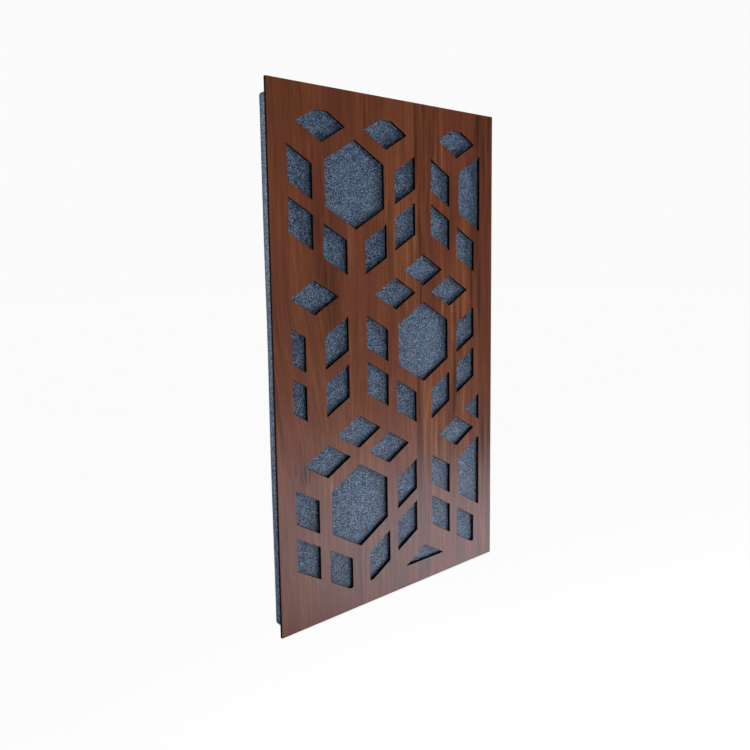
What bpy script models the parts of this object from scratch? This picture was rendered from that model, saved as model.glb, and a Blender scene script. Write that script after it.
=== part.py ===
"""Acoustic wall panel: a cut wood face plate on a fabric-wrapped absorber pad.

Metres, +Z up. The panel hangs flat against a wall and faces -Y, with +X to the
right as seen from the room. The origin is the middle of the pad's flat back,
where it meets the wall.
"""

import math

import bmesh
import bpy
from mathutils import Matrix, Vector

PANEL_NAME = "acoustic_wall_panel"

# Face plate, a thin veneered board
PLATE_WIDTH = 0.590
PLATE_HEIGHT = 1.000
PLATE_THICKNESS = 0.006

# Absorber pad, stuck to the back of the plate
PAD_DEPTH = 0.025
PAD_INSET_SIDES = 0.005
PAD_INSET_ENDS = 0.021
PAD_EDGE_RADIUS = 0.005
PAD_EDGE_SEGMENTS = 3
SEAT_GAP = 0.0003

# Uncut margin of the plate, on each side of the pattern
MARGIN_LEFT = 0.039
MARGIN_RIGHT = 0.0425
MARGIN_TOP = 0.043
MARGIN_BOTTOM = 0.0453

# Openings, each measured square across its straight sides
HEXAGON_ACROSS = 0.144
DIAMOND_ACROSS = 0.0555

# Bars of wood left between the openings
BAR_HEXAGON_TO_DIAMOND = 0.029
BAR_DIAMOND_TO_DIAMOND = 0.023
BAR_CELL_TO_CELL = 0.046

# Middle of the pattern's first hexagon, to the right of and above the plate's middle
PATTERN_RIGHT = 0.0777
PATTERN_UP = 0.0193

# An opening that the margin would trim to less than this share is not cut
SMALLEST_SHARE = 0.25

SIN_60 = math.sin(math.radians(60))
THIRD_TURN = math.radians(120)
SIXTH_TURN = math.radians(60)

# Distance from a cell's middle to the middle line of its outer rows of diamonds
OUTER_ROW = HEXAGON_ACROSS / 2 + BAR_HEXAGON_TO_DIAMOND + DIAMOND_ACROSS / 2
# Distance between two rows of diamonds in one cell
ROW_STEP = DIAMOND_ACROSS + BAR_DIAMOND_TO_DIAMOND
# Distance between the middles of two cells side by side
CELL_PITCH = 2 * OUTER_ROW + DIAMOND_ACROSS + BAR_CELL_TO_CELL


def clear_scene():
    """Remove every object that the scene starts with."""
    for obj in list(bpy.data.objects):
        bpy.data.objects.remove(obj, do_unlink=True)


def make_material(name, colour, roughness):
    """A plain non-metal Principled material."""
    material = bpy.data.materials.new(name)
    material.use_nodes = True
    shader = material.node_tree.nodes["Principled BSDF"]
    shader.inputs["Base Color"].default_value = (*colour, 1.0)
    shader.inputs["Roughness"].default_value = roughness
    shader.inputs["Metallic"].default_value = 0.0
    return material


def from_rows(u, v):
    """Point whose distances from the two slanting axes of a cell are u and v."""
    return Vector((u - v, (u + v) / (2 * SIN_60)))


def turned(points, angle):
    """The points turned about the middle of their cell."""
    return [Matrix.Rotation(angle, 2) @ point for point in points]


def mirrored(points, axis_x):
    """The points mirrored left to right about an upright line."""
    return [Vector((2 * axis_x - point.x, point.y)) for point in reversed(points)]


def moved(points, offset):
    """The points moved by an offset."""
    return [point + offset for point in points]


def hexagon():
    """Regular hexagon with a corner at the top."""
    corner = Vector((0.0, HEXAGON_ACROSS / 2 / SIN_60))
    return [Matrix.Rotation(step * SIXTH_TURN, 2) @ corner for step in range(6)]


def diamond(u, v):
    """Diamond of 60 and 120 degrees, lying on its side, in the rows u and v."""
    half = DIAMOND_ACROSS / 2
    return [
        from_rows(u + half, v + half),
        from_rows(u - half, v + half),
        from_rows(u - half, v - half),
        from_rows(u + half, v - half),
    ]


def far_diamond():
    """The diamond furthest from the hexagon, before its group is turned."""
    return diamond(OUTER_ROW, OUTER_ROW)


def left_diamond():
    """The diamond at the left of its group, before the group is turned."""
    return diamond(OUTER_ROW - ROW_STEP, OUTER_ROW)


def right_diamond():
    """The diamond at the right of its group, before the group is turned."""
    return diamond(OUTER_ROW, OUTER_ROW - ROW_STEP)


def whole_cell():
    """A hexagon ringed by three groups of three diamonds."""
    openings = [hexagon()]
    for group in range(3):
        for opening in (far_diamond(), left_diamond(), right_diamond()):
            openings.append(turned(opening, group * THIRD_TURN))
    return openings


def margin_cell():
    """What is cut of a cell whose middle lies in the left margin.

    It has no hexagon: the upper diamond stands over two pairs of upright ones,
    the second pair mirrored about that diamond's middle.
    """
    top = right_diamond()
    middle = sum(point.x for point in top) / len(top)
    right_pair = [
        turned(far_diamond(), -THIRD_TURN),
        turned(left_diamond(), -THIRD_TURN),
    ]
    left_pair = [mirrored(opening, middle) for opening in right_pair]
    return [top] + right_pair + left_pair


def area(points):
    """Area of a polygon by the shoelace rule."""
    total = 0.0
    for here, there in zip(points, points[1:] + points[:1]):
        total += here.x * there.y - there.x * here.y
    return abs(total) / 2


def trimmed(points, axis, limit, side):
    """The part of a convex polygon on one side of a line.

    axis is 0 for an upright line and 1 for a level one, limit is its place,
    and side is +1 to keep what is above the limit and -1 to keep the rest.
    """
    kept = []
    for here, there in zip(points, points[1:] + points[:1]):
        depth_here = side * (here[axis] - limit)
        depth_there = side * (there[axis] - limit)
        if depth_here >= 0:
            kept.append(here)
        if depth_here * depth_there < 0:
            share = depth_here / (depth_here - depth_there)
            kept.append(here.lerp(there, share))
    return kept


def trimmed_to_margins(points):
    """The opening as the four margins leave it, or nothing if it is too small."""
    full = area(points)
    half_width = PLATE_WIDTH / 2
    half_height = PLATE_HEIGHT / 2
    for axis, limit, side in (
        (0, MARGIN_LEFT - half_width, +1),
        (0, half_width - MARGIN_RIGHT, -1),
        (1, MARGIN_BOTTOM - half_height, +1),
        (1, half_height - MARGIN_TOP, -1),
    ):
        points = trimmed(points, axis, limit, side)
        if not points:
            return []
    return points if area(points) >= SMALLEST_SHARE * full else []


def all_openings():
    """Every opening of the plate, in its own plane, from the plate's middle."""
    row_pitch = CELL_PITCH * SIN_60
    rows = math.ceil(PLATE_HEIGHT / row_pitch)
    columns = math.ceil(PLATE_WIDTH / CELL_PITCH) + 1
    left_limit = MARGIN_LEFT - PLATE_WIDTH / 2
    openings = []
    for row in range(-rows, rows + 1):
        shift = 0.5 if row % 2 else 0.0
        for column in range(-columns, columns + 1):
            middle = Vector(
                (
                    PATTERN_RIGHT + (column + shift) * CELL_PITCH,
                    PATTERN_UP + row * row_pitch,
                )
            )
            cell = whole_cell() if middle.x >= left_limit else margin_cell()
            for opening in cell:
                outline = trimmed_to_margins(moved(opening, middle))
                if outline:
                    openings.append(outline)
    return openings


def add_outline(curve, points):
    """Add a closed outline with straight sides to a flat curve."""
    spline = curve.splines.new("POLY")
    spline.points.add(len(points) - 1)
    for spline_point, point in zip(spline.points, points):
        spline_point.co = (point.x, point.y, 0.0, 1.0)
    spline.use_cyclic_u = True


def make_face_plate(collection):
    """The board, a flat outline with its openings, stood upright."""
    curve = bpy.data.curves.new("face_plate", "CURVE")
    curve.dimensions = "2D"
    curve.fill_mode = "BOTH"
    curve.extrude = PLATE_THICKNESS / 2
    half_width = PLATE_WIDTH / 2
    half_height = PLATE_HEIGHT / 2
    corners = [
        Vector((-half_width, -half_height)),
        Vector((half_width, -half_height)),
        Vector((half_width, half_height)),
        Vector((-half_width, half_height)),
    ]
    add_outline(curve, corners)
    for opening in all_openings():
        add_outline(curve, opening)
    curve.materials.append(make_material("walnut_veneer", (0.115, 0.042, 0.022), 0.42))
    plate = bpy.data.objects.new("face_plate", curve)
    plate.rotation_euler = (math.radians(90), 0.0, 0.0)
    plate.location = (0.0, -(PAD_DEPTH + SEAT_GAP + PLATE_THICKNESS / 2), 0.0)
    collection.objects.link(plate)
    return plate


def make_absorber_pad(collection):
    """The fabric-wrapped pad, a slab with soft edges and a flat back at y = 0."""
    width = PLATE_WIDTH - 2 * PAD_INSET_SIDES
    height = PLATE_HEIGHT - 2 * PAD_INSET_ENDS
    mesh = bpy.data.meshes.new("absorber_pad")
    slab = bmesh.new()
    bmesh.ops.create_cube(slab, size=1.0)
    bmesh.ops.scale(slab, vec=(width, PAD_DEPTH, height), verts=slab.verts)
    slab.to_mesh(mesh)
    slab.free()
    mesh.materials.append(make_material("grey_blue_fabric", (0.085, 0.125, 0.175), 0.95))
    pad = bpy.data.objects.new("absorber_pad", mesh)
    pad.location = (0.0, -PAD_DEPTH / 2, 0.0)
    collection.objects.link(pad)
    soften = pad.modifiers.new("soft_edges", "BEVEL")
    soften.width = min(PAD_EDGE_RADIUS, PAD_DEPTH / 3)
    soften.segments = PAD_EDGE_SEGMENTS
    soften.limit_method = "NONE"
    return pad


def build():
    """Make the whole panel."""
    clear_scene()
    collection = bpy.data.collections.new(PANEL_NAME)
    bpy.context.scene.collection.children.link(collection)
    make_face_plate(collection)
    make_absorber_pad(collection)


build()
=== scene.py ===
"""Looks of the acoustic wall panel: a veneered face plate over a cloth-wrapped pad.

Metres, +Z up. The panel hangs flat against a wall and faces -Y, with +X to the
right as seen from the room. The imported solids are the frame, and every piece here
takes its size and place from them.
"""

import logging
import math
from dataclasses import dataclass
from enum import Enum

import bpy
import numpy as np
from mathutils import Matrix, Vector


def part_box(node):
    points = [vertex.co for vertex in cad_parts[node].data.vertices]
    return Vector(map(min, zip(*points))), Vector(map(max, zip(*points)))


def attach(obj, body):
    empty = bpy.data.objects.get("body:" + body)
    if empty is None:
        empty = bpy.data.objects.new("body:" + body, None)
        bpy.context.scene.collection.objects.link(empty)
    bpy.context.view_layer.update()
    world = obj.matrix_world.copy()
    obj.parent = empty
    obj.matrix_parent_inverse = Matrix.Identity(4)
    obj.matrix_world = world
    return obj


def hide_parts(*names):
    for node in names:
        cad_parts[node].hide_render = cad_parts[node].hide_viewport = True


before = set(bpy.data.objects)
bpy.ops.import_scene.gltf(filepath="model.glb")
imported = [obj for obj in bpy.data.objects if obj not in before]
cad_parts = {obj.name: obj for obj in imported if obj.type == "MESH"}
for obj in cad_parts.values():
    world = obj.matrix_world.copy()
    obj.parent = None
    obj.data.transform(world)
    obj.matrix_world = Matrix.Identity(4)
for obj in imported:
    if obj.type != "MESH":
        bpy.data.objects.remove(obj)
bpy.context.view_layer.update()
BODY = "root"
MILLIMETRE = 0.001

# A point this near to a plane, in metres, lies on it
ON_PLANE = 1e-5
# Corners that agree to this many decimals of a metre are one
CORNER_DECIMALS = 6
# A move shorter than this, in metres, counts as this long, so that it can divide
SHORTEST_MOVE = 1e-9

log = logging.getLogger("acoustic_wall_panel")


class Slot(Enum):
    """The record's material slots."""

    VENEER = "walnut_veneer"
    CLOTH = "grey_blue_fabric"


class Side(Enum):
    """Which way along an axis a face of a slab looks."""

    LOW = 0
    HIGH = 1


class Channel:
    """The value of a shader socket, with the arithmetic that the finishes use.

    Each operator adds one Math node, so an expression reads as a formula.
    """

    def __init__(self, tree: bpy.types.NodeTree, socket: bpy.types.NodeSocket) -> None:
        """Wrap a socket of a node tree."""
        self.tree = tree
        self.socket = socket

    def math(self, operation: str, *values: "Channel | float") -> "Channel":
        """Add a Math node.

        Args:
            operation: the node's operation, such as "MULTIPLY".
            values: what goes in, in order.

        Returns:
            The node's result.
        """
        node = self.tree.nodes.new("ShaderNodeMath")
        node.operation = operation
        for socket, value in zip(node.inputs, values):
            feed(self.tree, socket, value)
        return Channel(self.tree, node.outputs[0])

    def __add__(self, other: "Channel | float") -> "Channel":
        """Sum."""
        return self.math("ADD", self, other)

    def __radd__(self, other: float) -> "Channel":
        """Sum, the number first."""
        return self.math("ADD", other, self)

    def __sub__(self, other: "Channel | float") -> "Channel":
        """Difference."""
        return self.math("SUBTRACT", self, other)

    def __rsub__(self, other: float) -> "Channel":
        """Difference, the number first."""
        return self.math("SUBTRACT", other, self)

    def __mul__(self, other: "Channel | float") -> "Channel":
        """Product."""
        return self.math("MULTIPLY", self, other)

    def __rmul__(self, other: float) -> "Channel":
        """Product, the number first."""
        return self.math("MULTIPLY", other, self)

    def __truediv__(self, other: "Channel | float") -> "Channel":
        """Quotient."""
        return self.math("DIVIDE", self, other)

    def __rtruediv__(self, other: float) -> "Channel":
        """Quotient, the number first."""
        return self.math("DIVIDE", other, self)

    def __neg__(self) -> "Channel":
        """The same with its sign turned."""
        return self.math("MULTIPLY", self, -1.0)

    def clipped(self) -> "Channel":
        """Held between 0 and 1."""
        node = self.math("ADD", self, 0.0)
        node.socket.node.use_clamp = True
        return node


def feed(tree: bpy.types.NodeTree, socket: bpy.types.NodeSocket, value: object) -> None:
    """Link a channel to an input, or set the input to a plain value.

    Args:
        tree: the node tree.
        socket: the input.
        value: a Channel, a number or a tuple of numbers.
    """
    if isinstance(value, Channel):
        tree.links.new(value.socket, socket)
    else:
        socket.default_value = value


class Recipe:
    """A node tree that is put together one node at a time."""

    def __init__(self, tree: bpy.types.NodeTree) -> None:
        """Start from an empty tree."""
        self.tree = tree
        self.tree.nodes.clear()

    def node(
        self,
        kind: str,
        settings: dict[str, object] | None = None,
        inputs: dict[str | int, object] | None = None,
        output: str | int = 0,
    ) -> Channel | None:
        """Add any node.

        Args:
            kind: the node's type, such as "ShaderNodeTexNoise".
            settings: what is set on the node first. "stops" fills a ramp with
                pairs of a place and a colour.
            inputs: values or channels by the socket's name or number.
            output: name or number of the output to hand back.

        Returns:
            That output, or None from the node that ends the tree.
        """
        node = self.tree.nodes.new(kind)
        for name, value in (settings or {}).items():
            if name == "stops":
                fill_ramp(node.color_ramp, value)
            else:
                setattr(node, name, value)
        for name, value in (inputs or {}).items():
            feed(self.tree, node.inputs[name], value)
        return Channel(self.tree, node.outputs[output]) if node.outputs else None

    def place(self) -> tuple[Channel, Channel, Channel]:
        """Object coordinates as three channels, in metres."""
        point = self.node("ShaderNodeTexCoord", output="Object")
        split = self.node("ShaderNodeSeparateXYZ", inputs={0: point})
        outputs = split.socket.node.outputs
        return tuple(Channel(self.tree, socket) for socket in outputs)

    def point(self, x: object, y: object, z: object) -> Channel:
        """A vector of three channels or numbers."""
        return self.node("ShaderNodeCombineXYZ", inputs={0: x, 1: y, 2: z})

    def noise(self, point: Channel, detail: float) -> Channel:
        """Smooth noise of about 0 to 1 at a point, with a number of finer layers."""
        return self.node(
            "ShaderNodeTexNoise",
            inputs={"Vector": point, "Scale": 1.0, "Detail": detail, "Roughness": 0.5},
        )

    def cells(self, point: Channel, output: str) -> Channel:
        """The Color or the Distance of the nearest of many scattered cells."""
        return self.node(
            "ShaderNodeTexVoronoi", {"feature": "F1"}, {"Vector": point, "Scale": 1.0}, output
        )

    def bell(self, *offsets: Channel) -> Channel:
        """A bell curve: e to the power of minus the sum of the squares of the offsets."""
        total = offsets[0] * offsets[0]
        for offset in offsets[1:]:
            total = total + offset * offset
        return self.node("ShaderNodeMath", {"operation": "EXPONENT"}, {0: -total})

    def ramp(self, value: Channel, stops: list[tuple[float, tuple[float, ...]]]) -> Channel:
        """The colour that a value from 0 to 1 picks between the stops."""
        return self.node("ShaderNodeValToRGB", {"stops": stops}, {0: value})

    def step(self, value: Channel, low: float, high: float) -> Channel:
        """0 below low, 1 above high and a smooth rise between. With low above high it falls."""
        return self.node(
            "ShaderNodeMapRange",
            {"interpolation_type": "SMOOTHSTEP"},
            {"Value": value, "From Min": low, "From Max": high},
        )

    def blend(self, factor: Channel | float, first: object, second: object) -> Channel:
        """A colour between two, by a factor from 0 to 1."""
        return self.node("ShaderNodeMix", {"data_type": "RGBA"}, {0: factor, 6: first, 7: second}, 2)

    def multiply(self, colour: Channel, shade: Channel) -> Channel:
        """A colour darkened or lightened by a value."""
        return self.node(
            "ShaderNodeVectorMath", {"operation": "SCALE"}, {0: colour, "Scale": shade}
        )

    def bump(self, height: Channel, depth: float, strength: float = 1.0) -> Channel:
        """A normal from a height of 0 to 1 that stands for a depth in metres."""
        return self.node(
            "ShaderNodeBump",
            inputs={"Height": height, "Distance": depth, "Strength": strength},
        )

    def surface(self, **inputs: object) -> None:
        """Close the tree with a Principled shader.

        Args:
            inputs: its sockets by name, with _ in place of spaces.
        """
        sockets = {name.replace("_", " "): value for name, value in inputs.items()}
        shader = self.node("ShaderNodeBsdfPrincipled", inputs=sockets)
        self.node("ShaderNodeOutputMaterial", inputs={"Surface": shader})


def fill_ramp(ramp: bpy.types.ColorRamp, stops: list[tuple[float, tuple[float, ...]]]) -> None:
    """Give a colour ramp its stops.

    Args:
        ramp: the ramp, which starts with two stops.
        stops: pairs of a place from 0 to 1 and a linear colour of three numbers.
    """
    while len(ramp.elements) < len(stops):
        ramp.elements.new(1.0)
    for element, (place, colour) in zip(ramp.elements, stops):
        element.position = place
        element.color = (*colour, 1.0)


def new_material(name: str) -> tuple[bpy.types.Material, Recipe]:
    """A new material and the recipe for its nodes."""
    material = bpy.data.materials.new(name)
    material.use_nodes = True
    return material, Recipe(material.node_tree)


@dataclass(frozen=True)
class Streak:
    """One layer of streaks along the grain.

    Its width and length are in metres. Its detail is how many finer layers of noise
    it holds, and its layer is a number that keeps its noise apart from the others.
    """

    width: float
    length: float
    detail: float
    layer: float


@dataclass(frozen=True)
class VeneerFinish:
    """Reddish brown walnut veneer with an upright grain, under a satin lacquer.

    Two leaves of veneer meet at an upright joint, with a pale stripe of sapwood on
    its left and a dark band on its right. The flame is leaning grain near the left
    edge, the marks are mineral streaks below it, and the warm patch is lighter wood
    low in the middle. A place or size of two numbers is along x and z. A rise, fall
    or shade of two numbers is where a change starts and ends, and the rises and
    falls are counted from the joint.
    """

    name: str = "walnut_veneer_face"
    joint_x: float = 0.056
    joint_blur: float = 0.002
    joint_bend: float = 0.006
    joint_bend_z: tuple[float, float] = (0.25, 0.52)
    pale_rise: tuple[float, float] = (-0.013, -0.002)
    pale_fall: tuple[float, float] = (0.0014, -0.0006)
    dark_rise: tuple[float, float] = (-0.0006, 0.0016)
    dark_fall: tuple[float, float] = (0.030, 0.004)
    flame_x: float = -0.235
    flame_width: float = 0.075
    flame_slope: float = 0.30
    flame_height: float = 0.13
    mark_place: tuple[float, float] = (-0.235, -0.205)
    mark_size: tuple[float, float] = (0.026, 0.050)
    warm_place: tuple[float, float] = (-0.04, -0.18)
    warm_size: tuple[float, float] = (0.15, 0.13)
    right_shade_x: tuple[float, float] = (0.13, 0.26)
    edge_shade_x: tuple[float, float] = (0.262, 0.292)
    # painted shade: heights where the darkening of the top starts and is full
    top_painted_shade_z: tuple[float, float] = (0.28, 0.50)
    broad: Streak = Streak(0.060, 0.90, 2.0, 1.0)
    middle: Streak = Streak(0.014, 0.38, 3.0, 5.0)
    narrow: Streak = Streak(0.0042, 0.16, 2.0, 9.0)
    fibre: Streak = Streak(0.0011, 0.045, 2.0, 13.0)
    pore: Streak = Streak(0.00042, 0.0085, 1.0, 21.0)
    dash: Streak = Streak(0.0034, 0.045, 1.0, 31.0)
    red_tint: tuple[float, float, float] = (0.125, 0.031, 0.019)
    roughness: float = 0.30

    def grain(self, recipe: Recipe) -> tuple[Channel, Channel, Channel]:
        """Where a point lies across the grain, its own x and its z.

        The grain's lines are upright and wander by a slow noise. Near the left
        edge they lean, by a slope that dies away as a bell curve of x. The lean
        follows the hyperbolic tangent of z, so the lines stand upright again
        above and below the middle.
        """
        x, _, z = recipe.place()
        wander = recipe.noise(recipe.point(x * 5.0, 0.0, z * 2.2), 2.0) - 0.5
        ripple = recipe.noise(recipe.point(x * 30.0, 3.0, z * 9.0), 1.0) - 0.5
        bell = recipe.bell((x - self.flame_x) / self.flame_width)
        level = z / self.flame_height
        lean = bell * level.math("TANH", level) * (self.flame_height * self.flame_slope)
        across = x + wander * 0.030 + ripple * 0.0022 + lean
        return across, x, z

    @staticmethod
    def streaks(recipe: Recipe, across: Channel, z: Channel, streak: Streak) -> Channel:
        """Noise drawn out along the grain, from -0.5 to 0.5.

        Args:
            recipe: the material's recipe.
            across: where a point lies across the grain.
            z: its height.
            streak: the size of the streaks.

        Returns:
            The noise.
        """
        point = recipe.point(across / streak.width, streak.layer, z / streak.length)
        return recipe.noise(point, streak.detail) - 0.5

    @staticmethod
    def patch(
        recipe: Recipe, x: Channel, z: Channel, place: tuple[float, float], size: tuple[float, float]
    ) -> Channel:
        """A soft patch, 1 at its place and falling off as a bell curve of its size."""
        return recipe.bell((x - place[0]) / size[0], (z - place[1]) / size[1])

    def joint(self, recipe: Recipe, x: Channel, z: Channel) -> tuple[Channel, Channel]:
        """The pale stripe and the dark band beside the joint, which bends near the top."""
        bend = recipe.step(z, *self.joint_bend_z) * self.joint_bend
        past_joint = x - self.joint_x + bend
        pale = recipe.step(past_joint, *self.pale_rise) * recipe.step(past_joint, *self.pale_fall)
        dark = recipe.step(past_joint, *self.dark_rise) * recipe.step(past_joint, *self.dark_fall)
        return pale, dark

    def tone(self, recipe: Recipe, across: Channel, x: Channel, z: Channel) -> Channel:
        """Lightness of the wood from 0 to 1, without its pores.

        It is the sum of four layers of streaks, the middle two stronger on the right
        leaf, of the pale stripe and warm patch that lighten it, of the dark band, of a
        darkening towards the right and near the right edge, and of painted shade that
        darkens the top.
        """
        broad = self.streaks(recipe, across, z, self.broad)
        middle = self.streaks(recipe, across, z, self.middle)
        narrow = self.streaks(recipe, across, z, self.narrow)
        fibre = self.streaks(recipe, across, z, self.fibre)
        right_leaf = recipe.step(x, self.joint_x - self.joint_blur, self.joint_x + self.joint_blur)
        strength = (right_leaf * 0.55 + 0.75) * 1.15
        tone = 0.5 + broad * 0.75 + middle * strength + narrow * strength + fibre
        pale, dark = self.joint(recipe, x, z)
        # darker towards the right, and darker again near the right edge
        edge = recipe.step(x, *self.edge_shade_x)
        far_right = recipe.step(x, *self.right_shade_x)
        warm = self.patch(recipe, x, z, self.warm_place, self.warm_size)
        # painted shade: the wood is made darker towards the top
        top = recipe.step(z, *self.top_painted_shade_z)
        lighter = pale * 0.16 + warm * 0.17
        darker = dark * 0.17 + edge * 0.10 + far_right * 0.08 + top * 0.06
        return (tone + lighter - darker).clipped()

    def pores(self, recipe: Recipe, across: Channel, z: Channel) -> Channel:
        """Short dark open pores, 1 in a pore and 0 between them."""
        return recipe.step(self.streaks(recipe, across, z, self.pore), 0.13, 0.24)

    def marks(self, recipe: Recipe, across: Channel, x: Channel, z: Channel) -> Channel:
        """A patch of short dark mineral streaks low on the left."""
        near = self.patch(recipe, x, z, self.mark_place, self.mark_size)
        dashes = self.streaks(recipe, across, z, self.dash)
        return near * recipe.step(dashes, -0.04, 0.12)

    def make(self) -> bpy.types.Material:
        """The finished material."""
        material, recipe = new_material(self.name)
        across, x, z = self.grain(recipe)
        tone = self.tone(recipe, across, x, z)
        pores = self.pores(recipe, across, z)
        marks = self.marks(recipe, across, x, z)
        colour = recipe.ramp(
            tone,
            [
                (0.00, (0.040, 0.0140, 0.0075)),
                (0.30, (0.096, 0.0285, 0.0120)),
                (0.55, (0.150, 0.0450, 0.0170)),
                (0.80, (0.225, 0.0760, 0.0260)),
                (1.00, (0.330, 0.1300, 0.0500)),
            ],
        )
        hue = recipe.noise(recipe.point(x * 9.0, 7.0, z * 2.0), 2.0)
        redness = recipe.step(hue, 0.35, 0.70) * 0.5
        redder = recipe.blend(redness, colour, (*self.red_tint, 1.0))
        shade = (1.0 - pores * 0.45) * (1.0 - marks * 0.65)
        relief = tone * 0.35 - pores
        recipe.surface(
            Base_Color=recipe.multiply(redder, shade),
            Roughness=pores * 0.22 + tone * 0.06 + self.roughness,
            Normal=recipe.bump(relief, 0.00006),
            IOR=1.5,
        )
        return material


@dataclass(frozen=True)
class CutEdgeFinish:
    """Wall of an opening, nearly black as if burnt, with faint lines through its thickness.

    The lines have a pitch and a length, and the soot lies in clouds that are long
    along the wall and short through it.
    """

    name: str = "burnt_cut_edge"
    line_pitch: float = 0.0006
    line_length: float = 0.02
    soot_length: float = 0.012
    soot_depth: float = 0.003

    def make(self) -> bpy.types.Material:
        """The finished material."""
        material, recipe = new_material(self.name)
        x, y, z = recipe.place()
        pitch = self.line_pitch
        lines = recipe.noise(recipe.point(x / pitch, y / self.line_length, z / pitch), 2.0)
        length = self.soot_length
        soot = recipe.noise(recipe.point(x / length, y / self.soot_depth, z / length), 2.0)
        colour = recipe.ramp(
            (lines * 0.5 + soot * 0.5).clipped(),
            [(0.30, (0.0016, 0.0013, 0.0013)), (0.70, (0.0070, 0.0045, 0.0035))],
        )
        recipe.surface(
            Base_Color=colour,
            Roughness=lines * 0.2 + 0.62,
            Normal=recipe.bump(lines, 0.00005),
            Specular_IOR_Level=0.1,
        )
        return material


@dataclass(frozen=True)
class ClothFinish:
    """Grey-blue heather cloth: light and dark flecks over a fine knit.

    Each fleck is a cell with a tone of its own and frayed edges, and about one in
    twenty is a pale grey one. The thread is the size of the knit's loops, and the
    cloud is that of its slow changes.
    """

    name: str = "heather_cloth"
    fleck: float = 0.00145
    thread: float = 0.0007
    fraying: float = 1.1
    cloud: float = 0.09
    salt_draw: tuple[float, float] = (0.945, 0.955)
    salt_tint: tuple[float, float, float] = (0.40, 0.44, 0.46)

    def make(self) -> bpy.types.Material:
        """The finished material."""
        material, recipe = new_material(self.name)
        x, y, z = recipe.place()
        thread_point = recipe.point(x / self.thread, y / self.thread, z / self.thread)
        fray = (recipe.noise(thread_point, 1.0) - 0.5) * self.fraying
        fleck_point = recipe.point(x / self.fleck + fray, y / self.fleck, z / self.fleck - fray)
        colours = recipe.cells(fleck_point, "Color")
        flecks = recipe.node("ShaderNodeSeparateColor", inputs={0: colours})
        lottery = Channel(recipe.tree, flecks.socket.node.outputs[1])
        loops = recipe.cells(thread_point, "Distance")
        cloud = recipe.noise(recipe.point(x / self.cloud, y / self.cloud, z / self.cloud), 2.0)
        # the loops' edges, where the bump sinks, are darkened: painted shade in the knit's hollows
        value = (flecks - 0.5) * 2.0 + (cloud - 0.5) * 0.15 + 0.5 - (loops - 0.45) * 0.40
        colour = recipe.ramp(
            value.clipped(),
            [
                (0.00, (0.001, 0.004, 0.016)),
                (0.35, (0.005, 0.015, 0.042)),
                (0.65, (0.022, 0.055, 0.115)),
                (1.00, (0.125, 0.205, 0.318)),
            ],
        )
        salt = recipe.step(lottery, *self.salt_draw)
        height = flecks * 0.6 + (1.0 - loops) * 0.4
        recipe.surface(
            Base_Color=recipe.blend(salt * 0.85, colour, (*self.salt_tint, 1.0)),
            Roughness=0.52,
            Normal=recipe.bump(height, 0.0004, 0.8),
            Sheen_Weight=0.06,
            Sheen_Roughness=0.5,
            Specular_IOR_Level=0.80,
        )
        return material


@dataclass(frozen=True)
class BackingFinish:
    """Grey fibre felt that shows on the back, inside the turned-over cloth.

    Its hairs have one thickness and lie in two crossing directions.
    """

    name: str = "backing_felt"
    hair: float = 0.0006
    upright_length: float = 0.004
    level_length: float = 0.005

    def make(self) -> bpy.types.Material:
        """The finished material."""
        material, recipe = new_material(self.name)
        x, y, z = recipe.place()
        depth = y / self.hair
        hairs = recipe.noise(recipe.point(x / self.hair, depth, z / self.upright_length), 3.0)
        crossing = recipe.noise(recipe.point(x / self.level_length, depth, z / self.hair), 3.0)
        value = (hairs + crossing) * 0.5
        colour = recipe.ramp(
            value.clipped(), [(0.30, (0.030, 0.033, 0.037)), (0.70, (0.090, 0.096, 0.104))]
        )
        recipe.surface(
            Base_Color=colour,
            Roughness=0.95,
            Normal=recipe.bump(value, 0.0005),
            Specular_IOR_Level=0.2,
        )
        return material


@dataclass(frozen=True)
class FloorFinish:
    """Pale matt studio floor, lit evenly from within like a white photo table."""

    name: str = "pale_floor"
    glow: float = 0.88
    glow_tint: tuple[float, float, float] = (1.0, 0.98, 0.94)

    def make(self) -> bpy.types.Material:
        """The finished material."""
        material, recipe = new_material(self.name)
        x, y, _ = recipe.place()
        cloud = recipe.noise(recipe.point(x, y, 0.0), 2.0)
        colour = recipe.ramp(cloud, [(0.3, (0.86, 0.86, 0.865)), (0.7, (0.88, 0.88, 0.88))])
        recipe.surface(
            Base_Color=colour,
            Roughness=0.7,
            Emission_Color=(*self.glow_tint, 1.0),
            Emission_Strength=self.glow,
        )
        return material


def new_piece(
    name: str,
    points: np.ndarray,
    faces: list[np.ndarray],
    finishes: list[bpy.types.Material],
    worn: np.ndarray,
    smooth: np.ndarray,
) -> bpy.types.Object:
    """Make a mesh object at the origin.

    Args:
        name: the piece's name.
        points: corners, one row each.
        faces: arrays of faces, one row of corner numbers each.
        finishes: the piece's materials.
        worn: for each face, which of them it has.
        smooth: for each face, whether it is shaded smooth.

    Returns:
        The new object.
    """
    mesh = bpy.data.meshes.new(name)
    rows = [row for block in faces for row in block.tolist()]
    mesh.from_pydata(points.tolist(), [], rows)
    for finish in finishes:
        mesh.materials.append(finish)
    mesh.polygons.foreach_set("material_index", worn.astype(np.int32))
    mesh.polygons.foreach_set("use_smooth", smooth.astype(bool))
    mesh.update()
    piece = bpy.data.objects.new(name, mesh)
    bpy.context.scene.collection.objects.link(piece)
    return piece


def smooth_step(value: np.ndarray, low: float, high: float) -> np.ndarray:
    """0 below low, 1 above high and t * t * (3 - 2 t) between."""
    share = np.clip((value - low) / (high - low), 0.0, 1.0)
    return share * share * (3.0 - 2.0 * share)


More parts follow.
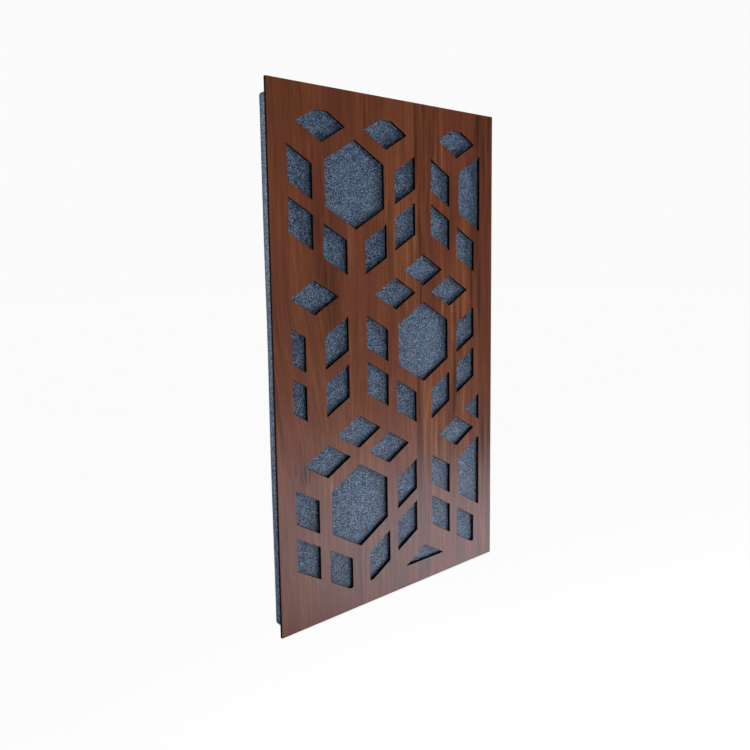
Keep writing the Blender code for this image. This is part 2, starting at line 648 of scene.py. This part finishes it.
@dataclass
class Lattice:
    """The outlines and the flat face of the plate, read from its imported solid.

    Corners are rows of x and z. Each edge runs from a corner to the next one with
    the wood on its left, as seen from the room.
    """

    corners: np.ndarray
    triangles: np.ndarray
    edge_from: np.ndarray
    edge_to: np.ndarray

    @classmethod
    def from_node(cls, node: str) -> "Lattice":
        """Read the front face of a flat solid.

        Args:
            node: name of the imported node.

        Returns:
            Its corners, its triangles and the edges round its outlines.
        """
        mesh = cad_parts[node].data
        points = np.zeros(len(mesh.vertices) * 3)
        mesh.vertices.foreach_get("co", points)
        points = points.reshape(-1, 3)
        mesh.calc_loop_triangles()
        triangles = np.zeros(len(mesh.loop_triangles) * 3, np.int32)
        mesh.loop_triangles.foreach_get("vertices", triangles)
        triangles = triangles.reshape(-1, 3)
        in_front = points[:, 1] < points[:, 1].min() + ON_PLANE
        triangles = triangles[in_front[triangles].all(axis=1)]
        flat = np.round(points[:, [0, 2]], CORNER_DECIMALS)
        corners, numbers = np.unique(flat[triangles.ravel()], axis=0, return_inverse=True)
        triangles = numbers.reshape(-1, 3)
        start = triangles.ravel()
        end = np.roll(triangles, -1, axis=1).ravel()
        alone = ~np.isin(start * len(corners) + end, end * len(corners) + start)
        return cls(corners, triangles, start[alone], end[alone])

    def mitres(self) -> np.ndarray:
        """For each corner, how it moves when every outline moves into its void by 1.

        It is the sum of the unit normals of the corner's two edges, divided by 1
        plus their dot product.
        """
        along = self.corners[self.edge_to] - self.corners[self.edge_from]
        along /= np.linalg.norm(along, axis=1, keepdims=True)
        normal = np.column_stack((along[:, 1], -along[:, 0]))
        leaving = np.zeros_like(self.corners)
        arriving = np.zeros_like(self.corners)
        leaving[self.edge_from] = normal
        arriving[self.edge_to] = normal
        turn = 1.0 + (leaving * arriving).sum(axis=1, keepdims=True)
        return (leaving + arriving) / turn

    def depth_in_void(self, places: np.ndarray) -> np.ndarray:
        """How far points are inside the openings.

        A point is in the wood if a level ray to its right crosses the outlines an
        odd number of times, and then gets 0. Any other point gets its distance
        from the nearest outline.

        Args:
            places: rows of x and z.

        Returns:
            A distance in metres for each row.
        """
        start = self.corners[self.edge_from]
        end = self.corners[self.edge_to]
        along = end - start
        px = places[:, 0:1]
        pz = places[:, 1:2]
        share = (px - start[:, 0]) * along[:, 0] + (pz - start[:, 1]) * along[:, 1]
        share = np.clip(share / (along**2).sum(axis=1), 0.0, 1.0)
        gap_x = px - start[:, 0] - share * along[:, 0]
        gap_z = pz - start[:, 1] - share * along[:, 1]
        distance = np.sqrt((gap_x**2 + gap_z**2).min(axis=1))
        straddles = (start[:, 1] > pz) != (end[:, 1] > pz)
        rise = np.where(along[:, 1] == 0.0, 1.0, along[:, 1])
        crossing = start[:, 0] + (pz - start[:, 1]) / rise * along[:, 0]
        in_wood = (straddles & (crossing > px)).sum(axis=1) % 2 == 1
        return np.where(in_wood, 0.0, distance)


@dataclass
class FacePlate:
    """The board: a front face, walls round every opening and a back face.

    The arris is the small rounding of every edge, and the veneer is a layer on the
    front of that thickness.
    """

    lattice: Lattice
    node: str = "face_plate"
    arris: float = 0.0004
    arris_steps: int = 3
    veneer: float = 0.0006

    def profile(self) -> np.ndarray:
        """The wall's profile, as rows of a distance into the wood and a y.

        It is a quarter circle at the front arris, a straight wall with a line
        where the veneer ends, and a quarter circle at the back arris.
        """
        low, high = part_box(self.node)
        turn = np.linspace(0.0, math.pi / 2, self.arris_steps + 1)
        inset = self.arris * (1.0 - np.sin(turn))
        rise = self.arris * (1.0 - np.cos(turn))
        front = np.column_stack((inset, low.y + rise))
        line = np.array([[0.0, low.y + self.veneer]])
        back = np.column_stack((inset[::-1], high.y - rise[::-1]))
        return np.vstack((front, line, back))

    def build(self, face: bpy.types.Material, wall: bpy.types.Material) -> bpy.types.Object:
        """Carry the profile round every outline and close both faces.

        Args:
            face: finish of the veneered faces.
            wall: finish of the cut edges.

        Returns:
            The plate.
        """
        corners = self.lattice.corners
        count = len(corners)
        mitres = self.lattice.mitres()
        profile = self.profile()
        rings = []
        for inset, y in profile:
            flat = corners - inset * mitres
            rings.append(np.column_stack((flat[:, 0], np.full(count, y), flat[:, 1])))
        start = self.lattice.edge_from
        end = self.lattice.edge_to
        bands = []
        for ring in range(len(profile) - 1):
            near = ring * count
            far = near + count
            bands.append(np.column_stack((end + near, start + near, start + far, end + far)))
        front = self.lattice.triangles
        back = front[:, ::-1] + (len(profile) - 1) * count
        band = np.repeat(np.arange(len(bands)), len(start))
        rounded = (band < self.arris_steps) | (band > self.arris_steps + 1)
        cut = band >= self.arris_steps
        flat_faces = np.zeros(len(front), int)
        plate = new_piece(
            "veneered_face_plate",
            np.vstack(rings),
            [front, np.vstack(bands), back],
            [face, wall],
            np.concatenate((flat_faces, cut, flat_faces)),
            np.concatenate((flat_faces, rounded, flat_faces)),
        )
        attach(plate, BODY)
        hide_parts(self.node)
        return plate


def side_number(axis: int, side: Side) -> int:
    """The number of a block's side: twice its axis, plus 1 on the high side."""
    return 2 * axis + side.value


def slab_faces(counts: tuple[int, int, int]) -> tuple[np.ndarray, np.ndarray, np.ndarray]:
    """The skin of a block of grid points, as one closed mesh.

    Args:
        counts: how many grid points the block has along x, y and z.

    Returns:
        The grid numbers of the skin's points as rows of three, the faces as rows
        of four point numbers with their normals outward, and for each face the
        number of the side that it is on.
    """
    cells = []
    sides = []
    for axis in range(3):
        across, along = (axis + 1) % 3, (axis + 2) % 3
        first, second = np.meshgrid(
            np.arange(counts[across] - 1), np.arange(counts[along] - 1), indexing="ij"
        )
        first, second = first.ravel(), second.ravel()
        for side in Side:
            ring = [(0, 0), (1, 0), (1, 1), (0, 1)]
            if side is Side.LOW:
                ring.reverse()
            cell = np.zeros((len(first), 4, 3), int)
            for corner, (step_first, step_second) in enumerate(ring):
                cell[:, corner, axis] = side.value * (counts[axis] - 1)
                cell[:, corner, across] = first + step_first
                cell[:, corner, along] = second + step_second
            cells.append(cell)
            sides.append(np.full(len(first), side_number(axis, side)))
    cells = np.vstack(cells)
    grid, numbers = np.unique(cells.reshape(-1, 3), axis=0, return_inverse=True)
    return grid, numbers.reshape(-1, 4), np.concatenate(sides)


@dataclass(frozen=True)
class Dip:
    """A soft hollow along an edge, with its depth, middle and reach in metres."""

    depth: float
    middle: float
    reach: float

    def at(self, place: np.ndarray) -> np.ndarray:
        """The depth times e to the power of minus the squared distance in reaches."""
        return self.depth * np.exp(-(((place - self.middle) / self.reach) ** 2))


@dataclass
class AbsorberPad:
    """The soft pad: cloth drawn over a slab and turned over onto its back.

    The cloth crowns a little in every opening, where a simulation lets it swell.
    The plate grips it to just inside each outline. The right side and both ends
    pull in between the corners, the left side less, and the left side leans in
    towards its lower end. The whole cloth hangs a little low at both ends.
    """

    lattice: Lattice
    node: str = "absorber_pad"
    edge_radius: float = 0.005
    edge_steps: int = 4
    grid_step: float = 0.0050
    grip: float = 0.001
    crown: float = 0.0005
    crown_reach: float = 0.012
    pressure: float = 12.0
    frames: int = 8
    quality: int = 3
    cap: float = 0.0018
    hem: float = 0.032
    hem_thickness: float = 0.0012
    hem_slope: float = 0.001
    side_crown: float = 0.0008
    corner_out: float = 0.0008
    left_out: float = 0.0004
    left_lean: float = 0.0013
    left_lean_z: tuple[float, float] = (0.10, 0.48)
    left_dip: Dip = Dip(0.0010, 0.050, 0.130)
    right_dip: Dip = Dip(0.0028, -0.06, 0.26)
    end_dip: Dip = Dip(0.0026, 0.03, 0.17)
    side_power: int = 6
    end_power: int = 12
    hang: float = 0.0030
    fill: float = 0.7

    def lines(self, half: float) -> np.ndarray:
        """Places of the grid lines along one axis, close together round the edge.

        Within the edge's radius they lie at the radius times the tangent of equal
        steps of angle, which spreads them evenly round the curve.
        """
        inner = half - self.edge_radius
        turn = np.linspace(0.0, math.pi / 4, self.edge_steps + 1)[1:]
        curve = inner + self.edge_radius * np.tan(turn)
        cells = max(2, math.ceil(2 * inner / self.grid_step))
        middle = np.linspace(-inner, inner, cells + 1)
        return np.concatenate((-curve[::-1], middle, curve))

    def rounded(self, points: np.ndarray, half: np.ndarray) -> np.ndarray:
        """Round the edges of a box.

        Each point goes to the nearest point of a box that is smaller by the edge's
        radius, and out again by the radius along the line between the two.
        """
        inner = np.clip(points, self.edge_radius - half, half - self.edge_radius)
        out = points - inner
        length = np.linalg.norm(out, axis=1, keepdims=True)
        return inner + out / length * self.edge_radius

    def left_inset(self, z: np.ndarray) -> np.ndarray:
        """How far the left side lies inside the solid's side at each height."""
        lower = smooth_step(-z, *self.left_lean_z)
        return -self.left_out + self.left_lean * lower + self.left_dip.at(z)

    def pulled_in(self, points: np.ndarray, half: np.ndarray) -> np.ndarray:
        """Draw the sides in between the corners, and let both ends hang a little.

        A side moves by its inset times a high power of the distance from the
        middle, as a share of the half width, so that the faces hardly stretch.
        """
        x, y, z = points.T
        weight_x = (np.abs(x) / half[0]) ** self.side_power
        weight_z = (np.abs(z) / half[2]) ** self.end_power
        right_inset = self.right_dip.at(z) - self.corner_out
        end_inset = self.end_dip.at(x) - self.corner_out
        middle_of_edge = np.clip(1.0 - (y / half[1]) ** 2, 0.0, 1.0)
        out = self.side_crown * middle_of_edge
        inset_x = np.where(x < 0.0, self.left_inset(z), right_inset) - out
        inset_z = end_inset - out
        moved_x = x - np.sign(x) * weight_x * inset_x
        moved_z = z - np.sign(z) * weight_z * inset_z - weight_z * self.hang
        return np.column_stack((moved_x, y, moved_z))

    def settle(self, pad: bpy.types.Object, held: np.ndarray) -> None:
        """Let the cloth swell under the light pressure of the filling.

        Blender's cloth is run on the pad's own mesh for a few frames, without
        gravity. Each point then keeps its move, shortened to the cap where it is
        longer, and the modifier is taken off.

        Args:
            pad: the pad.
            held: for each point, whether the plate or the glue holds it.
        """
        scene = bpy.context.scene
        group = pad.vertex_groups.new(name="held")
        group.add(np.flatnonzero(held).tolist(), 1.0, "REPLACE")
        cloth = pad.modifiers.new("cloth", "CLOTH")
        cloth.settings.vertex_group_mass = group.name
        cloth.settings.quality = self.quality
        cloth.settings.use_pressure = True
        cloth.settings.uniform_pressure_force = self.pressure
        cloth.settings.effector_weights.gravity = 0.0
        cloth.collision_settings.use_collision = False
        cloth.point_cache.frame_start = 1
        cloth.point_cache.frame_end = self.frames
        for number in range(1, self.frames + 1):
            scene.frame_set(number)
        start = self.points_of(pad.data)
        evaluated = pad.evaluated_get(bpy.context.evaluated_depsgraph_get())
        settled = self.points_of(evaluated.data)
        pad.modifiers.remove(cloth)
        pad.vertex_groups.remove(group)
        scene.frame_set(1)
        move = settled - start
        length = np.maximum(np.linalg.norm(move, axis=1, keepdims=True), SHORTEST_MOVE)
        log.info("cloth moved %.2f mm at most", length.max() / MILLIMETRE)
        points = start + move * np.minimum(1.0, self.cap / length)
        pad.data.vertices.foreach_set("co", points.ravel())
        pad.data.update()

    @staticmethod
    def points_of(mesh: bpy.types.Mesh) -> np.ndarray:
        """A mesh's points, one row each."""
        points = np.zeros(len(mesh.vertices) * 3)
        mesh.vertices.foreach_get("co", points)
        return points.reshape(-1, 3)

    def build(self, cloth: bpy.types.Material, backing: bpy.types.Material) -> bpy.types.Object:
        """Make the pad.

        Args:
            cloth: finish of the cloth.
            backing: finish of the felt inside the turned-over cloth.

        Returns:
            The pad.
        """
        low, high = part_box(self.node)
        middle = np.array((low + high) / 2)
        half = np.array((high - low) / 2)
        axes = [self.lines(size) for size in half]
        grid, faces, sides = slab_faces(tuple(len(axis) for axis in axes))
        block = np.column_stack([axis[grid[:, i]] for i, axis in enumerate(axes)])
        points = self.rounded(block, half)
        depth = self.lattice.depth_in_void(points[:, [0, 2]] + middle[[0, 2]])
        in_front = block[:, 1] < -half[1] + ON_PLANE
        on_back = block[:, 1] > half[1] - ON_PLANE
        free = (in_front & (depth > self.grip)) | ~(in_front | on_back)
        past_grip = np.maximum(depth - self.grip, 0.0)
        crown = self.crown * (1.0 - np.exp(-past_grip / self.crown_reach))
        points[:, 1] -= np.where(in_front, crown, 0.0)
        from_side = np.minimum(half[0] - np.abs(block[:, 0]), half[2] - np.abs(block[:, 2]))
        felt_from = self.hem - self.hem_slope
        sunk = smooth_step(from_side, felt_from, self.hem + self.hem_slope) * self.hem_thickness
        points[:, 1] -= np.where(on_back, sunk, 0.0)
        points = self.pulled_in(points, half) + middle
        back_side = sides == side_number(1, Side.HIGH)
        on_felt = back_side & (from_side[faces].min(axis=1) >= felt_from)
        pad = new_piece(
            "cloth_wrapped_pad",
            points,
            [faces],
            [cloth, backing],
            on_felt,
            np.ones(len(faces), bool),
        )
        self.settle(pad, ~free)
        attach(pad, BODY)
        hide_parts(self.node)
        return pad


@dataclass(frozen=True)
class Lamp:
    """A soft rectangular lamp.

    Its spread is the full angle of its beam in degrees. A lamp that doesn't shine
    lights a surface without a gloss on it.
    """

    name: str
    place: tuple[float, float, float]
    target: tuple[float, float, float]
    size: tuple[float, float]
    power: float
    spread: float
    shines: bool = True
    colour: tuple[float, float, float] = (1.0, 1.0, 1.0)

    def build(self) -> bpy.types.Object:
        """Put the lamp in its place, turned to its target."""
        light = bpy.data.lights.new(self.name, "AREA")
        light.shape = "RECTANGLE"
        light.size, light.size_y = self.size
        light.energy = self.power
        light.color = self.colour
        light.spread = math.radians(self.spread)
        lamp = bpy.data.objects.new(self.name, light)
        lamp.visible_camera = False
        lamp.visible_glossy = self.shines
        lamp.location = self.place
        aim = Vector(self.target) - Vector(self.place)
        lamp.rotation_euler = aim.to_track_quat("-Z", "Y").to_euler()
        bpy.context.scene.collection.objects.link(lamp)
        return lamp


@dataclass(frozen=True)
class Studio:
    """Plain pale floor, white surroundings and soft lamps.

    The light rise is where, in the upward part of a direction, the surroundings'
    light starts to change from the level one and is wholly the upper one.
    """

    floor_z: float = -1.25
    floor_half: float = 30.0
    backdrop: float = 0.96
    light_rise: tuple[float, float] = (0.25, 0.95)
    level_light: tuple[float, float, float] = (0.036, 0.040, 0.046)
    upper_light: tuple[float, float, float] = (0.137, 0.167, 0.230)
    glare_tint: tuple[float, float, float] = (0.80, 0.86, 1.0)
    lamps: tuple[Lamp, ...] = (
        Lamp(
            name="key_right",
            place=(5.2, -0.84, -1.10),
            target=(0.0, 0.0, -0.05),
            size=(1.3, 2.0),
            power=68.0,
            spread=38.0,
            shines=False,
        ),
        Lamp(
            name="low_glare",
            place=(0.86, -0.92, -0.90),
            target=(0.0, 0.0, -0.36),
            size=(1.2, 0.60),
            power=3.1,
            spread=120.0,
            colour=glare_tint,
        ),
        Lamp(
            name="side_fill",
            place=(-2.4, 0.90, 0.50),
            target=(-0.3, 0.0, 0.05),
            size=(1.2, 1.2),
            power=4.5,
            spread=60.0,
        ),
    )

    def build_floor(self, finish: bpy.types.Material) -> bpy.types.Object:
        """The floor, one large square."""
        size = self.floor_half
        x = np.array([-size, size, size, -size])
        y = np.array([-size, -size, size, size])
        points = np.column_stack((x, y, np.full(4, self.floor_z)))
        square = [np.array([[0, 1, 2, 3]])]
        first_finish = np.zeros(1)
        flat_shaded = np.zeros(1)
        floor = new_piece("floor", points, square, [finish], first_finish, flat_shaded)
        floor.visible_glossy = False
        return floor

    def build_world(self) -> None:
        """Near white to the camera. For all else, dim at eye level and bright overhead."""
        world = bpy.data.worlds.new("studio")
        world.use_nodes = True
        bpy.context.scene.world = world
        recipe = Recipe(world.node_tree)
        seen = recipe.node("ShaderNodeLightPath", output="Is Camera Ray")
        direction = recipe.node("ShaderNodeTexCoord", output="Generated")
        upward = recipe.node("ShaderNodeSeparateXYZ", inputs={0: direction}, output="Z")
        height = recipe.step(upward, *self.light_rise)
        room = recipe.blend(height, (*self.level_light, 1.0), (*self.upper_light, 1.0))
        shown = self.backdrop
        light = recipe.blend(seen, room, (shown, shown, shown, 1.0))
        shader = recipe.node("ShaderNodeBackground", inputs={"Color": light})
        recipe.node("ShaderNodeOutputWorld", inputs={"Surface": shader})

    def build(self) -> None:
        """Make the floor, the surroundings and the lamps."""
        self.build_floor(FloorFinish().make())
        self.build_world()
        for lamp in self.lamps:
            lamp.build()
        view = bpy.context.scene.view_settings
        view.view_transform = "Standard"
        view.look = "None"


@dataclass(frozen=True)
class PhotoCamera:
    """The camera at the photograph's viewing angle, left of the panel and above its middle."""

    place: tuple[float, float, float] = (-0.9935, -1.0965, 0.1876)
    heading: float = 41.27
    pitch: float = -6.82
    roll: float = -0.79
    lens: float = 34.81
    sensor: float = 36.0
    shift_y: float = -0.0361

    def build(self) -> bpy.types.Object:
        """Make the camera and look through it."""
        settings = bpy.data.cameras.new("photo_camera")
        settings.sensor_width = self.sensor
        settings.lens = self.lens
        settings.shift_y = self.shift_y
        settings.clip_start = 0.01
        camera = bpy.data.objects.new("photo_camera", settings)
        turn = Matrix.Rotation(math.radians(-self.heading), 4, "Z")
        tilt = Matrix.Rotation(math.radians(90.0 + self.pitch), 4, "X")
        roll = Matrix.Rotation(math.radians(self.roll), 4, "Z")
        camera.matrix_world = Matrix.Translation(self.place) @ turn @ tilt @ roll
        bpy.context.scene.collection.objects.link(camera)
        bpy.context.scene.camera = camera
        return camera


def report(piece: bpy.types.Object) -> None:
    """Say how large a piece is and how many faces it has."""
    size = " x ".join(f"{side / MILLIMETRE:.1f}" for side in piece.dimensions)
    log.info("%s: %s mm, %d faces", piece.name, size, len(piece.data.polygons))


def main() -> None:
    """Build the camera, the studio, the plate and the pad, in that order."""
    logging.basicConfig(level=logging.INFO, format="%(message)s")
    PhotoCamera().build()
    Studio().build()
    lattice = Lattice.from_node("face_plate")
    plate = FacePlate(lattice).build(VeneerFinish().make(), CutEdgeFinish().make())
    pad = AbsorberPad(lattice).build(ClothFinish().make(), BackingFinish().make())
    bpy.context.view_layer.update()
    for piece in (plate, pad):
        report(piece)


if __name__ == "__main__":
    main()
